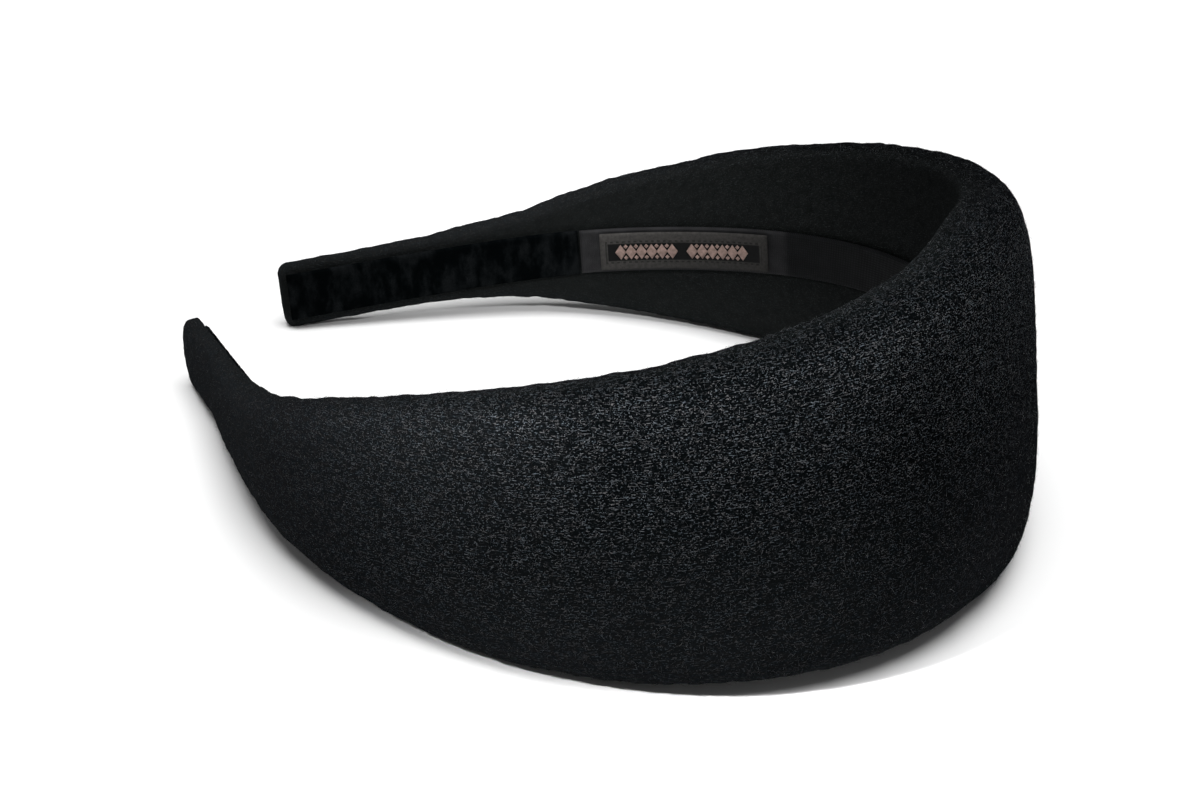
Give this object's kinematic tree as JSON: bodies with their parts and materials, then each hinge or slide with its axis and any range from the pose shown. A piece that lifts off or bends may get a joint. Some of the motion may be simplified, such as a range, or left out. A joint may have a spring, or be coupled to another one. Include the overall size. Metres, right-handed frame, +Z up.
{
  "type": "padded headband",
  "caption": "Wide padded fabric headband, open at the back, tapering to slim tips with velvet grip ribbons and a woven tape and label inside.",
  "frame": {"origin": "bottom centre of the bounding box, on the surface that the headband rests on", "axes": "+Y from the two tips towards the crown, +X towards the arm without the label, +Z up; the band lies on its side edge, tilted about 9.6 degrees so that the crown's lower edge and both tips touch the surface"},
  "size_m": [0.141, 0.154, 0.0605],
  "materials": {
    "black_knit": "matt black crepe knit with a faint glint",
    "black_velvet": "deep black velvet pile",
    "woven_tape": "smooth grey satin-woven tape",
    "label_weave": "fine damask weave with a dashed border and a small lozenge motif"
  },
  "bodies": {
    "root": {"padded_band": "black_knit", "velvet_ribbon_right": "black_velvet", "velvet_ribbon_left": "black_velvet", "centre_tape": "woven_tape", "woven_label": "label_weave"}
  },
  "joints": []
}
